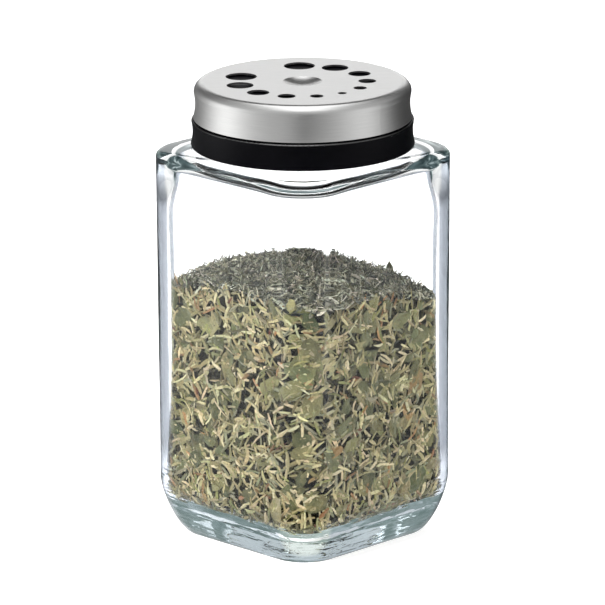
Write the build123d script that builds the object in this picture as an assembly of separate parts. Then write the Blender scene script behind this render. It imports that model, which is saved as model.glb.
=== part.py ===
from build123d import *
import math
import os

# A square glass spice jar with a screwed inner lid and a turning steel shaker cap.
# Millimetres. The origin is the middle of the base on the table, +Z goes up, and
# the flats of the jar face along X and Y.

# Glass body
jar_width = 51.3  # across the flats above the heel
wall_lean = 0.25  # how far each flat leans out from the heel to the shoulder
corner_radius = 8.9  # of the four upright corners
heel_height = 12.6  # where the heel runs into the wall
heel_inset = 4.7  # how far the foot stands back from each flat
foot_corner = 8.0  # corner radius of the foot
heel_power_share = 1.43  # 2 would be a plain ellipse, 1 a straight slope
wall_height = 87.3  # where the shoulder starts
shoulder_rise = 1.6  # of the shoulder's rounding
shoulder_inset = 1.8  # of the shoulder's rounding at each flat
crest_corner = 9.0  # corner radius of the shoulder's crest
crown_rise = 0.5  # from the crest in to the foot of the neck
crown_margin = 0.45  # between the neck and the highest glass around it
base_recess_radius = 16.5  # the hollow under the base
base_recess_depth = 1.1
glass_low_wall = 1.6  # at the flats, just above the floor's rounding
glass_wall = 3.0  # at the flats, in the upper half
wall_grows_from = 14.0  # height where the wall starts to get thicker
wall_grows_to = 48.0
glass_floor = 5.6
floor_round = 5.6  # where the inside runs from the floor into the walls
glass_ceiling = 2.2  # between the crown and the inside
vault_rise = 3.8  # of the inside, from the walls in to the bore
vault_margin = 0.6  # of level ceiling around the bore

# Neck and its outer thread
neck_radius = 20.95
neck_wall = 2.55
neck_height = 11.5
rim_round = 0.6
thread_lead = 4.233  # 6 turns to 25.4
thread_rise = 1.2  # of the crest above the neck
thread_base_width = 2.3
thread_crest_width = 0.8
thread_start = 4.3  # middle of the thread's lower end above the crown
thread_sink = 0.35  # how deep both threads are rooted in their walls
neck_turns_share = 1.15

# Seal
seal_thickness = 1.0
seal_margin = 0.5  # outside the bore
seal_side_gap = 0.35  # inside the lid's wall

# Inner lid: a black ring that shows, and a post and roof under the steel cap
thread_clearance = 0.3  # between each crest and the wall across from it
flank_clearance = 0.25
collar_gap = 0.45  # under the ring, above the crown
collar_wall = 2.2  # at the ring's waist
collar_foot_flare = 0.4
collar_brow_flare = 0.25
collar_height = 5.95  # of the ring that shows
collar_edge_round = 0.35
collar_lead_in = 0.8
collar_turns_share = 1.0
post_wall = 1.05  # at the steel cap's waist
roof_thickness = 1.6
roof_edge_round = 1.5
port_margin = 0.5  # of the pour port around the largest shaker hole
socket_clearance = 0.25  # round the dimple of the steel cap

# Steel shaker cap
steel = 0.4
cap_rise = 0.4  # of its lower edge above the black ring
cap_roof_gap = 0.35  # between the roof and the steel
cap_wall_clearance = 0.15
cap_shoulder_flare = 0.3  # of the skirt above its waist
cap_lip_flare = 0.45  # of the skirt below its waist
cap_edge_round = 2.2
dimple_radius = 4.4
dimple_depth = 1.0

# Shaker holes: one smallest hole, then pairs of larger ones on both sides of it
hole_ring_radius = 14.42
smallest_hole = 2.0
pair_holes = [3.0, 4.0, 5.0, 6.0, 7.0]
pair_angles = [24.9, 51.7, 80.5, 112.1, 145.4]  # degrees from the smallest hole
smallest_hole_angle = -7.6  # degrees about Z from +X

# Herbs: a round mound, with a heap on it and a steep brow beside that
herb_gap = 0.25  # to the glass
mound_height = 62.6  # of the mound's top
mound_rise = 6.7  # from the corners to the mound's top, if it stood in the middle
mound_lean = 7.4  # of the mound's top from the middle, towards -Y
heap_radius = 24.0
heap_rise = 2.0  # over the mound
heap_place = (-6.4, 2.1)  # along X and Y
brow_radius = 6.5
brow_rise = 1.6
brow_place = (-2.0, 6.2)

# Hollows that the packed leaves leave, in rows on the walls and over the mound
hollow_pitch = 7.1
hollow_radius = 4.2
hollow_depth = 0.95
hollow_stray = 0.9  # how far each lies off its even place
hollow_low = 15.5  # height of the lowest row
hollow_rows = 6
hollow_columns = 5  # on each wall, besides one at each corner
mound_columns = 5  # each way over the mound
stray_turns = (2.4, 1.7)  # radians from one hollow to the next

overrun = 1.0  # of every cut past the face that it opens
touch = 0.01  # how near an edge lies to the height that it is picked by
heel_steps = 6
shoulder_steps = 4
vault_steps = 5
tight_share = 0.9  # the most that a rounding takes of the radius it sits in
round_share = 0.97  # the most that a corner takes of half a square's width

# Heights that follow
crest_height = wall_height + shoulder_rise
crown_height = crest_height + crown_rise
ceiling_height = crown_height - glass_ceiling
vault_height = ceiling_height - vault_rise
rim_height = crown_height + neck_height
roof_low = rim_height + seal_thickness
roof_high = roof_low + roof_thickness
cap_high = roof_high + cap_roof_gap + steel
cap_shoulder_height = cap_high - cap_edge_round
collar_low = crown_height + collar_gap
collar_high = collar_low + collar_height
cap_low = collar_high + cap_rise
cap_waist_height = (cap_shoulder_height + cap_low) / 2

# Widths and radii that follow, from the bore outwards
width_high = jar_width + 2 * wall_lean
bore_radius = neck_radius - neck_wall
thread_crest_radius = neck_radius + thread_rise
neck_thread_root = neck_radius - thread_sink
collar_root_radius = thread_crest_radius + thread_clearance
collar_crest_radius = neck_radius + thread_clearance
collar_thread_root = collar_root_radius + thread_sink
collar_waist_radius = collar_root_radius + collar_wall
post_waist_radius = collar_root_radius + post_wall
post_shoulder_radius = post_waist_radius + cap_shoulder_flare
post_lip_radius = post_waist_radius + cap_lip_flare
skirt_inset = steel + cap_wall_clearance
cap_waist_radius = post_waist_radius + skirt_inset
cap_shoulder_radius = post_shoulder_radius + skirt_inset
cap_lip_radius = post_lip_radius + skirt_inset
port_radius = pair_holes[-1] / 2 + port_margin
port_angle = smallest_hole_angle + 180


def level(width, corner, height):
    """A square with round corners, lying level."""
    return Pos(0, 0, height) * RectangleRounded(width, width, corner)


def disc(radius, low, high):
    """A plain upright cylinder between two heights."""
    return Pos(0, 0, low) * Cylinder(radius, high - low, align=(Align.CENTER, Align.CENTER, Align.MIN))


def dome_radius(reach, rise):
    """The sphere that rises this much over this reach."""
    return (reach**2 + rise**2) / (2 * rise)


def bend(start, end, centre):
    """An arc from start to end about its centre, the short way."""
    start, end, centre = Vector(*start), Vector(*end), Vector(*centre)
    outward = (start + end) / 2 - centre
    return ThreePointArc(start, centre + outward.normalized() * (start - centre).length, end)


def turned(outline):
    """The solid that a closed half section makes about Z."""
    return revolve(Plane.XZ * make_face(outline), Axis.Z)


def edges_at(shape, height):
    """The edges that lie level at this height."""
    return shape.edges().filter_by_position(Axis.Z, height - touch, height + touch)


def thread(base_radius, crest_radius, turns, middle):
    """A right-handed ridge that starts on +X with its middle at this height."""
    path = Helix(pitch=thread_lead, height=thread_lead * turns, radius=base_radius)
    corners = [
        (base_radius, -thread_base_width / 2),
        (crest_radius, -thread_crest_width / 2),
        (crest_radius, thread_crest_width / 2),
        (base_radius, thread_base_width / 2),
    ]
    ridge = Plane.XZ * make_face(Polyline(*corners, close=True))
    return Pos(0, 0, middle) * sweep(ridge, path=path, is_frenet=True)


def thread_width(base_radius, crest_radius, radius):
    """How wide that ridge is at a radius between its base and its crest."""
    return thread_crest_width + (thread_base_width - thread_crest_width) * (crest_radius - radius) / (
        crest_radius - base_radius
    )


def heel_levels():
    """Sections from the foot up to the wall, closer together near the table."""
    levels = []
    for step in range(heel_steps + 1):
        depth_share = math.cos(math.pi / 2 * step / heel_steps)
        inset_share = 1 - (1 - depth_share**heel_power_share) ** (1 / heel_power_share)
        width = jar_width - 2 * heel_inset * inset_share
        corner = corner_radius + (foot_corner - corner_radius) * inset_share
        levels.append(level(width, corner, heel_height * (1 - depth_share)))
    return levels


def shoulder_levels():
    """Sections from the wall round to the shoulder's crest."""
    levels = []
    for step in range(shoulder_steps + 1):
        turn = math.pi / 2 * step / shoulder_steps
        inset_share = 1 - math.cos(turn)
        width = width_high - 2 * shoulder_inset * inset_share
        corner = corner_radius + (crest_corner - corner_radius) * inset_share
        levels.append(level(width, corner, wall_height + (crest_height - wall_height) * math.sin(turn)))
    return levels


def wall_at(height):
    """How thick the glass is at the flats at a height."""
    share = (height - wall_grows_from) / (wall_grows_to - wall_grows_from)
    return glass_low_wall + (glass_wall - glass_low_wall) * min(max(share, 0), 1)


def room_size(height, clearance):
    """Half width and corner radius of the room at a height, less a clearance from the glass."""
    inset = wall_at(height) + clearance
    return jar_width / 2 - inset, corner_radius - inset


def room_level(height, clearance):
    """The room's outline at a height."""
    half, corner = room_size(height, clearance)
    return level(2 * half, corner, height)


def vault_levels(clearance):
    """Sections from the walls of the room round to its ceiling."""
    wide, wall_corner = room_size(vault_height, clearance)
    narrow = bore_radius + vault_margin
    levels = []
    for step in range(vault_steps + 1):
        turn = math.pi / 2 * step / vault_steps
        half = narrow + (wide - narrow) * math.cos(turn)
        corner = wall_corner + (narrow - wall_corner) * math.sin(turn)
        height = vault_height + (vault_rise - clearance) * math.sin(turn)
        levels.append(level(2 * half, min(corner, round_share * half), height))
    return levels


def room_inside(clearance):
    """The room below the neck, less a clearance from the glass."""
    low = glass_floor + clearance
    heights = [low, wall_grows_from, wall_grows_to, vault_height]
    walls = loft([room_level(height, clearance) for height in heights], ruled=True)
    walls = fillet(edges_at(walls, low), floor_round - clearance)
    return walls + loft(vault_levels(clearance))


def glass_jar():
    heel = loft(heel_levels())
    wall = loft([level(jar_width, corner_radius, heel_height), level(width_high, corner_radius, wall_height)])
    shoulder = loft(shoulder_levels())
    crest_width = width_high - 2 * shoulder_inset
    crown_radius = neck_radius + crown_margin
    crown_corner = crown_radius * tight_share
    crest = level(crest_width, crest_corner, crest_height)
    crown = loft([crest, level(2 * crown_radius, crown_corner, crown_height)], ruled=True)
    body = heel + wall + shoulder + crown
    body += disc(neck_radius, ceiling_height, rim_height)
    body = fillet(edges_at(body, rim_height), rim_round)
    body -= room_inside(0) + disc(bore_radius, ceiling_height - overrun, rim_height + overrun)
    dish = dome_radius(base_recess_radius, base_recess_depth)
    body -= Pos(0, 0, base_recess_depth - dish) * Sphere(dish)
    return body + thread(neck_thread_root, thread_crest_radius, neck_turns_share, crown_height + thread_start)


def mound_forms():
    """Radius, place and top of the balls that the top of the herbs is made of."""
    mound = dome_radius((jar_width / 2 - glass_wall) * math.sqrt(2), mound_rise)
    forms = [(mound, 0, -mound_lean, mound_height)]
    heaps = [(heap_radius, heap_rise, *heap_place), (brow_radius, brow_rise, *brow_place)]
    for radius, rise, across, away in heaps:
        forms.append((radius, across, away, highest(forms[:1], across, away) + rise))
    return forms


def highest(forms, across, away):
    """Height of the highest of these balls over a place."""
    heights = []
    for radius, middle_across, middle_away, top in forms:
        reach = math.hypot(across - middle_across, away - middle_away)
        heights.append(top - radius + math.sqrt(max(radius**2 - reach**2, 0)))
    return max(heights)


def wall_hollows():
    """Middles of the balls that hollow out the herbs at the walls, each a little off its even place."""
    places = []
    out = hollow_radius - hollow_depth
    corner_turn = math.pi / 4
    for row in range(hollow_rows):
        for side in range(4):
            for column in range(hollow_columns + 1):
                stray = (row * hollow_columns + column) * stray_turns[0] + side
                height = hollow_low + row * hollow_pitch + hollow_stray * math.cos(stray * stray_turns[1])
                half, corner = room_size(height, herb_gap)
                turn = side * math.pi / 2
                across = (column - (hollow_columns - 1) / 2) * hollow_pitch + hollow_stray * math.sin(stray)
                away = half + out
                if column == hollow_columns:
                    turn += corner_turn
                    across = 0
                    away = (half - corner) * math.sqrt(2) + corner + out
                x = away * math.cos(turn) - across * math.sin(turn)
                y = away * math.sin(turn) + across * math.cos(turn)
                places.append((x, y, height))
    return places


def mound_hollows():
    """Middles of the balls that hollow out the top of the herbs."""
    places = []
    forms = mound_forms()
    middle = (mound_columns - 1) / 2
    for row in range(mound_columns):
        for column in range(mound_columns):
            stray = (row * mound_columns + column) * stray_turns[0]
            x = (column - middle) * hollow_pitch + hollow_stray * math.sin(stray)
            y = (row - middle) * hollow_pitch + hollow_stray * math.cos(stray * stray_turns[1])
            places.append((x, y, highest(forms, x, y) + hollow_radius - hollow_depth))
    return places


def dried_herbs():
    # Every ball is turned so that its seam and its poles lie outside the herbs.
    forms = mound_forms()
    heaps = [Pos(x, y, top - radius) * Rot(0, 90, 0) * Sphere(radius) for radius, x, y, top in forms]
    packed = room_inside(herb_gap) & (heaps[0] + heaps[1:])
    ball = Sphere(hollow_radius)
    packed -= [Pos(x, y, z) * Rot(0, 0, math.degrees(math.atan2(y, x))) * ball for x, y, z in wall_hollows()]
    return packed - [Pos(*place) * Rot(0, -90, 0) * ball for place in mound_hollows()]


def seal_ring():
    bore = disc(bore_radius + seal_margin, rim_height - overrun, roof_low + overrun)
    return disc(collar_root_radius - seal_side_gap, rim_height, roof_low) - bore


def collar_outline():
    """Half section of the inner lid, before its thread, port and socket."""
    chin_radius = collar_waist_radius + collar_foot_flare
    brow_radius = collar_waist_radius + collar_brow_flare
    chin = (chin_radius - collar_edge_round, collar_low + collar_edge_round)
    brow = (brow_radius - collar_edge_round, collar_high - collar_edge_round)
    roof_edge = (post_shoulder_radius - roof_edge_round, roof_high - roof_edge_round)
    chin_low, chin_side = (chin[0], collar_low), (chin_radius, chin[1])
    brow_side, brow_top = (brow_radius, brow[1]), (brow[0], collar_high)
    post_low, post_high = (post_lip_radius, cap_low), (post_shoulder_radius, roof_edge[1])
    roof_inside, mouth = (collar_root_radius, roof_low), (collar_root_radius, collar_low + collar_lead_in)
    return [
        bend(chin_low, chin_side, chin),
        ThreePointArc(chin_side, (collar_waist_radius, (collar_low + collar_high) / 2), brow_side),
        bend(brow_side, brow_top, brow),
        Polyline(brow_top, (post_lip_radius, collar_high), post_low),
        ThreePointArc(post_low, (post_waist_radius, cap_waist_height), post_high),
        bend(post_high, (roof_edge[0], roof_high), roof_edge),
        Polyline((roof_edge[0], roof_high), (0, roof_high), (0, roof_low), roof_inside, mouth),
        Polyline(mouth, (collar_root_radius + collar_lead_in, collar_low), chin_low),
    ]


def screw_collar():
    middle = (neck_radius + thread_crest_radius) / 2
    neck_width = thread_width(neck_thread_root, thread_crest_radius, middle)
    own_width = thread_width(collar_thread_root, collar_crest_radius, middle)
    start = crown_height + thread_start - (neck_width + own_width) / 2 - flank_clearance
    body = turned(collar_outline())
    body += thread(collar_thread_root, collar_crest_radius, collar_turns_share, start)
    port = disc(port_radius, roof_low - overrun, roof_high + overrun)
    body -= Rot(0, 0, port_angle) * Pos(hole_ring_radius, 0, 0) * port
    socket_low = roof_high + cap_roof_gap - dimple_depth - socket_clearance
    return body - disc(dimple_radius + socket_clearance, socket_low, roof_high + overrun)


def cap_outline():
    """Half section of the steel cap: its upper face outwards, its lower face back."""
    bowl = dome_radius(dimple_radius, dimple_depth)
    bowl_centre = (0, cap_high - dimple_depth + bowl)
    dimple_low = bowl_centre[1] - (cap_high - steel)
    dimple_inside = math.sqrt((bowl + steel) ** 2 - dimple_low**2)
    edge_centre = (cap_shoulder_radius - cap_edge_round, cap_shoulder_height)
    under = cap_high - steel
    return [
        bend((0, cap_high - dimple_depth), (dimple_radius, cap_high), bowl_centre),
        Line((dimple_radius, cap_high), (edge_centre[0], cap_high)),
        bend((edge_centre[0], cap_high), (cap_shoulder_radius, cap_shoulder_height), edge_centre),
        ThreePointArc(
            (cap_shoulder_radius, cap_shoulder_height),
            (cap_waist_radius, cap_waist_height),
            (cap_lip_radius, cap_low),
        ),
        Line((cap_lip_radius, cap_low), (cap_lip_radius - steel, cap_low)),
        ThreePointArc(
            (cap_lip_radius - steel, cap_low),
            (cap_waist_radius - steel, cap_waist_height),
            (cap_shoulder_radius - steel, cap_shoulder_height),
        ),
        bend((cap_shoulder_radius - steel, cap_shoulder_height), (edge_centre[0], under), edge_centre),
        Line((edge_centre[0], under), (dimple_inside, under)),
        bend((dimple_inside, under), (0, under - dimple_depth), bowl_centre),
        Line((0, under - dimple_depth), (0, cap_high - dimple_depth)),
    ]


def shaker_cap():
    body = turned(cap_outline())
    holes = [(smallest_hole, 0)]
    for size, angle in zip(pair_holes, pair_angles):
        holes += [(size, angle), (size, -angle)]
    for size, angle in holes:
        hole = Pos(hole_ring_radius, 0, 0) * disc(size / 2, roof_high, cap_high + overrun)
        body -= Rot(0, 0, smallest_hole_angle + angle) * hole
    return body


os.makedirs("parts", exist_ok=True)
for piece in [glass_jar, dried_herbs, seal_ring, screw_collar, shaker_cap]:
    export_step(piece(), f"parts/{piece.__name__}.step")
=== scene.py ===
import math

import bpy
import numpy as np
from mathutils import Matrix, Vector

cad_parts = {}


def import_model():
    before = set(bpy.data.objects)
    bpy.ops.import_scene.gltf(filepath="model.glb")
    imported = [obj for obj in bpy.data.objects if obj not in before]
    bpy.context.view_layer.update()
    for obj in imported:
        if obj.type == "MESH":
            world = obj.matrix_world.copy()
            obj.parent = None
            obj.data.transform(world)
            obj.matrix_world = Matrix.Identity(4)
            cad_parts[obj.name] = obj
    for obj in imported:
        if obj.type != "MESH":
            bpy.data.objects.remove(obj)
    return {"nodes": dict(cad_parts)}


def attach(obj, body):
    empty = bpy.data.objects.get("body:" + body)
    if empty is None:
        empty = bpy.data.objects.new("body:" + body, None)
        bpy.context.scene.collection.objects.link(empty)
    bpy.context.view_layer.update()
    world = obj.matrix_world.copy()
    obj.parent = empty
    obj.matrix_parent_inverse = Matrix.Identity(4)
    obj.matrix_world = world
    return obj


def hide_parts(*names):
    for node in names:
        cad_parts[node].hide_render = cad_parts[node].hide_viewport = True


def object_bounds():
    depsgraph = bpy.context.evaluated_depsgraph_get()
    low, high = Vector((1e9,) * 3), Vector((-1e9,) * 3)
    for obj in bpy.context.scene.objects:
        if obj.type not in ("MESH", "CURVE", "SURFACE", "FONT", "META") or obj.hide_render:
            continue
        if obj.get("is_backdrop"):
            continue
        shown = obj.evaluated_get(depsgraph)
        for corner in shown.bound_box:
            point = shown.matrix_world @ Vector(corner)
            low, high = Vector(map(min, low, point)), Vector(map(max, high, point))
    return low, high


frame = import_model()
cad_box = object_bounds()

# A square glass spice jar full of dried herbs, with a black lid ring and a steel
# shaker cap. Sizes are in millimetres like the CAD's, and turned into metres when
# a mesh is made. The camera stands in front of one upright corner of the jar.
MM = 0.001

# Glass, as in the CAD
JAR_HALF = 25.65
WALL_LEAN = 0.25
CORNER = 8.9
HEEL_HEIGHT = 12.6
HEEL_INSET = 4.7
FOOT_CORNER = 8.0
HEEL_POWER = 1.43
WALL_HEIGHT = 87.3
SHOULDER_RISE = 1.6
SHOULDER_INSET = 1.8
CREST_CORNER = 9.0
CREST_HEIGHT = 88.9
CROWN_HEIGHT = 89.4
CROWN_RADIUS = 21.4
CROWN_SHARE = 0.9
RECESS_RADIUS = 16.5
RECESS_DEPTH = 1.1
NECK_RADIUS = 20.95
BORE_RADIUS = 18.4
RIM_HEIGHT = 100.9
RIM_ROUND = 0.6
NECK_FILLET = 0.35
THREAD_LEAD = 4.233
THREAD_RISE = 1.2
THREAD_START = 93.7
THREAD_TURNS = 1.15
THREAD_BASE = 1.15
THREAD_CREST = 0.4
THREAD_FADE = 0.05

# Inside of the glass
WALL_LOW = 1.6  # thickness just above the floor
WALL_HIGH = 3.0
WALL_UPPER = 1.9  # thickness under the shoulder
WALL_GROWS = (12.0, 46.0)  # heights between which the wall gets thicker, and thinner again
WALL_THINS = (56.0, 84.0)
ROOM_LIP = 0.6  # rounding at the foot of the bore
ROOM_CORNER_GROWS = (74.0, 86.0)
ROOM_CORNER_MORE = 4.0
ROOM_FLOOR = 5.6
FLOOR_ROUND = 5.6
ROOM_CEILING = 87.2
ROOM_SHOULDER = 84.9

# Herbs: a mound with a heap and a brow on it, and hollows in rows, within the CAD's solid
HERB_GAP = 0.25  # to the glass
MOUND_HEIGHT = 61.8
MOUND_RISE = 7.0  # from the corners to the top
MOUND_PLACE = (2.8, -8.8)
HEAP = (14.3, 2.2, -3.3, 3.0)  # radius, rise over the mound, and place
BROW = (8.7, 0.8, -0.2, 7.5)
HOLLOW_PITCH = 7.1
HOLLOW_RADIUS = 4.2
HOLLOW_DEPTH = 0.95
HOLLOW_STRAY = 0.9
HOLLOW_LOW = 15.5
HOLLOW_ROWS = 6
HOLLOW_COLUMNS = 5
STRAY_TURNS = (2.4, 1.7)
LOOSE_RISE = 0.2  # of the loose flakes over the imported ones
FLOOR_REACH = 18.0
HERB_MIDDLE = 40.0
CORE_DEPTH = 2.0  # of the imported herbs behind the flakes
CORE_TOP_DEPTH = 1.0
CORE_ROUGH = 0.22

# Top of the black ring that shows
RING_HIGH = 95.8

# Ribs under the base, and the unevenness of the walls
STIPPLE_DEPTH = 0.16
STIPPLES = 44
WAVE_OUTSIDE = 0.05
WAVE_INSIDE = 0.06

CAMERA_TURN = math.radians(45)
CAMERA_TILT = math.radians(15.62)
CAMERA_ROLL = math.radians(-0.26)
CAMERA_DISTANCE = 1500.0
CAMERA_AIM = (-0.24, 52.96)
CAMERA_LENS = 396.6
SENSOR = 36.0


def lerp(a, b, share):
    return a + (b - a) * share


def smooth(value):
    value = np.clip(value, 0, 1)
    return value * value * (3 - 2 * value)


def linear(colour):
    """A colour as it is on screen, 0 to 255, as the shader takes it."""
    parts = [c / 255 for c in colour]
    return tuple(c / 12.92 if c <= 0.04045 else ((c + 0.055) / 1.055) ** 2.4 for c in parts)


# Meshes


def new_object(name, points, faces, smooth_faces=True):
    mesh = bpy.data.meshes.new(name)
    mesh.from_pydata((np.asarray(points) * MM).tolist(), [], faces)
    mesh.polygons.foreach_set("use_smooth", [smooth_faces] * len(mesh.polygons))
    mesh.update()
    piece = bpy.data.objects.new(name, mesh)
    bpy.context.collection.objects.link(piece)
    return piece


def steep_angles():
    """One turn of angles, closer together round the four upright corners."""
    flat = np.arange(0, 30, 3.0)
    corner = np.arange(30, 45, 0.75)
    octant = np.concatenate([flat, corner])
    quarter = np.concatenate([octant, 90 - np.concatenate([[45.0], octant[:0:-1]])])
    return np.radians(np.concatenate([quarter + 90 * side for side in range(4)]))


ANGLES = steep_angles()


def ring_radius(angles, half, corner):
    """How far out a square with round corners lies at these angles."""
    cos, sin = np.abs(np.cos(angles)), np.abs(np.sin(angles))
    far, near = np.maximum(cos, sin), np.minimum(cos, sin)
    middle = half - corner
    total = far + near
    root = np.sqrt(np.maximum(corner**2 - middle**2 * (2 - total**2), 0))
    return np.where(near * half / far <= middle, half / far, middle * total + root)


def wave(angles, height, seed):
    """The slow unevenness of pressed glass, within about one."""
    a = np.sin(2 * angles + 0.083 * height + seed)
    b = np.sin(3 * angles - 0.131 * height + 2.1 * seed)
    c = np.sin(5 * angles + 0.047 * height + 3.7 * seed)
    return (a + b + c) / 3


def room_size(height):
    """Half width and corner radius of the inside at a height."""
    low, high = WALL_GROWS
    thick = lerp(WALL_LOW, WALL_HIGH, smooth((height - low) / (high - low)))
    low, high = WALL_THINS
    thick = thick - (WALL_HIGH - WALL_UPPER) * smooth((height - low) / (high - low))
    low, high = ROOM_CORNER_GROWS
    return JAR_HALF - thick, CORNER - thick + ROOM_CORNER_MORE * smooth((height - low) / (high - low))


def neck_thread(angles, height):
    """How far the thread stands out of the neck."""
    out = np.zeros_like(angles)
    for lap in range(2):
        turn = angles / (2 * math.pi) + lap
        away = np.abs(height - THREAD_START - THREAD_LEAD * turn)
        rise = smooth((THREAD_BASE - away) / (THREAD_BASE - THREAD_CREST))
        fade = smooth(turn / THREAD_FADE) * smooth((THREAD_TURNS - turn) / THREAD_FADE)
        out = np.maximum(out, THREAD_RISE * rise * fade)
    return out


def jar_rings():
    """The glass as rings of radius and height, from under the base up, over the rim and down inside."""
    rings = []

    def add(height, half, corner, out=0.0, lift=0.0):
        rings.append((ring_radius(ANGLES, half, corner) + out, height + lift + 0 * ANGLES))

    dish = (RECESS_RADIUS**2 + RECESS_DEPTH**2) / (2 * RECESS_DEPTH)
    for share in np.linspace(0.08, 1, 12)[:-1]:
        reach = RECESS_RADIUS * share
        add(RECESS_DEPTH - dish + math.sqrt(dish**2 - reach**2), reach, reach)
    foot = JAR_HALF - HEEL_INSET
    for share in np.linspace(0, 1, 13)[:-1]:
        bumps = np.maximum(np.cos(STIPPLES * ANGLES + 3 * math.pi * share), 0)
        hollow = STIPPLE_DEPTH * (1 - bumps) * math.sin(math.pi * share) ** 0.5
        add(0, lerp(RECESS_RADIUS, foot, share), lerp(RECESS_RADIUS, FOOT_CORNER, share), lift=hollow)
    for step in np.linspace(0, 1, 41)[:-1]:
        depth = math.cos(math.pi / 2 * step)
        inset = 1 - (1 - depth**HEEL_POWER) ** (1 / HEEL_POWER)
        height = HEEL_HEIGHT * (1 - depth)
        add(height, JAR_HALF - HEEL_INSET * inset, lerp(CORNER, FOOT_CORNER, inset))
    for height in np.linspace(HEEL_HEIGHT, WALL_HEIGHT, 63)[:-1]:
        share = (height - HEEL_HEIGHT) / (WALL_HEIGHT - HEEL_HEIGHT)
        calm = math.sin(math.pi * share) ** 0.5
        uneven = WAVE_OUTSIDE * calm * (wave(ANGLES, height, 1.0) - 1)
        add(height, JAR_HALF + WALL_LEAN * share, CORNER, out=uneven)
    for share in np.linspace(0, 1, 15)[:-1]:
        turn = math.pi / 2 * share
        inset = 1 - math.cos(turn)
        half = JAR_HALF + WALL_LEAN - SHOULDER_INSET * inset
        add(WALL_HEIGHT + SHOULDER_RISE * math.sin(turn), half, lerp(CORNER, CREST_CORNER, inset))
    crest = JAR_HALF + WALL_LEAN - SHOULDER_INSET
    for share in np.linspace(0, 1, 15)[:-1]:
        half = lerp(crest, CROWN_RADIUS, share)
        height = lerp(CREST_HEIGHT, CROWN_HEIGHT, math.sin(math.pi / 2 * share))
        add(height, half, lerp(CREST_CORNER, CROWN_RADIUS * CROWN_SHARE, share))
    neck_foot = NECK_RADIUS + NECK_FILLET
    for share in np.linspace(0, 1, 6):
        reach = lerp(CROWN_RADIUS, neck_foot, share)
        add(CROWN_HEIGHT, reach, reach * lerp(CROWN_SHARE, 1, share))
    for turn in np.linspace(0, math.pi / 2, 5)[1:]:
        reach = neck_foot - NECK_FILLET * math.sin(turn)
        add(CROWN_HEIGHT + NECK_FILLET * (1 - math.cos(turn)), reach, reach)
    for height in np.linspace(CROWN_HEIGHT + NECK_FILLET, RIM_HEIGHT - RIM_ROUND, 72)[1:-1]:
        add(height, NECK_RADIUS, NECK_RADIUS, out=neck_thread(ANGLES, height))
    for turn in np.linspace(0, math.pi / 2, 7):
        reach = NECK_RADIUS - RIM_ROUND * (1 - math.cos(turn))
        add(RIM_HEIGHT - RIM_ROUND * (1 - math.sin(turn)), reach, reach)
    for turn in np.linspace(0, math.pi / 2, 7):
        reach = BORE_RADIUS + RIM_ROUND * (1 - math.sin(turn))
        add(RIM_HEIGHT - RIM_ROUND * (1 - math.cos(turn)), reach, reach)
    for height in np.linspace(RIM_HEIGHT - RIM_ROUND, ROOM_CEILING + ROOM_LIP, 14)[1:]:
        add(height, BORE_RADIUS, BORE_RADIUS)
    for turn in np.linspace(0, math.pi / 2, 5)[1:]:
        reach = BORE_RADIUS + ROOM_LIP * (1 - math.cos(turn))
        add(ROOM_CEILING + ROOM_LIP * (1 - math.sin(turn)), reach, reach)
    half, corner = room_size(ROOM_SHOULDER)
    start = BORE_RADIUS + ROOM_LIP
    for share in np.linspace(0, 1, 24)[1:]:
        turn = math.pi / 2 * share
        width = lerp(start, half, math.sin(turn))
        height = lerp(ROOM_SHOULDER, ROOM_CEILING, math.cos(turn))
        add(height, width, lerp(corner, start, math.cos(turn) ** 2))
    floor_wall = ROOM_FLOOR + FLOOR_ROUND
    for height in np.linspace(ROOM_SHOULDER, floor_wall, 62)[1:]:
        half, corner = room_size(height)
        add(height, half, corner, out=WAVE_INSIDE * wave(ANGLES, height, 2.0))
    half, corner = room_size(floor_wall)
    uneven = WAVE_INSIDE * wave(ANGLES, floor_wall, 2.0)
    for turn in np.linspace(0, math.pi / 2, 15)[1:]:
        inset = FLOOR_ROUND * (1 - math.cos(turn))
        height = floor_wall - FLOOR_ROUND * math.sin(turn)
        add(height, half - inset, corner - inset, out=uneven * math.cos(turn))
    for share in np.linspace(1, 0.06, 10)[1:]:
        reach = (half - FLOOR_ROUND) * share
        add(ROOM_FLOOR, reach, lerp(reach, corner - FLOOR_ROUND, share))
    return rings


def jar_glass():
    rings = jar_rings()
    radius = np.array([ring[0] for ring in rings])
    height = np.array([ring[1] for ring in rings])
    points = np.stack([radius * np.cos(ANGLES), radius * np.sin(ANGLES), height], axis=-1).reshape(-1, 3)
    count = len(ANGLES)
    low, high = len(points), len(points) + 1
    points = np.concatenate([points, [[0, 0, RECESS_DEPTH], [0, 0, ROOM_FLOOR]]])
    faces = []
    for row in range(len(rings) - 1):
        for step in range(count):
            after = (step + 1) % count
            a, b = row * count + step, row * count + after
            faces.append((a, b, b + count, a + count))
    last = (len(rings) - 1) * count
    for step in range(count):
        after = (step + 1) % count
        faces.append((low, after, step))
        faces.append((last + step, last + after, high))
    return new_object("jar_glass", points, faces)


# Herbs


def room_depth(points):
    """How deep points lie inside the jar's room, in the direction of the nearest wall or the floor."""
    half, corner = room_size(points[:, 2])
    flat = np.abs(points[:, :2]) - (half - corner)[:, None]
    side = np.hypot(*np.maximum(flat, 0).T) + np.minimum(flat.max(axis=1), 0) - corner + FLOOR_ROUND
    down = ROOM_FLOOR - points[:, 2] + FLOOR_ROUND
    both = np.hypot(np.maximum(side, 0), np.maximum(down, 0))
    return -(both + np.minimum(np.maximum(side, down), 0) - FLOOR_ROUND)


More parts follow.
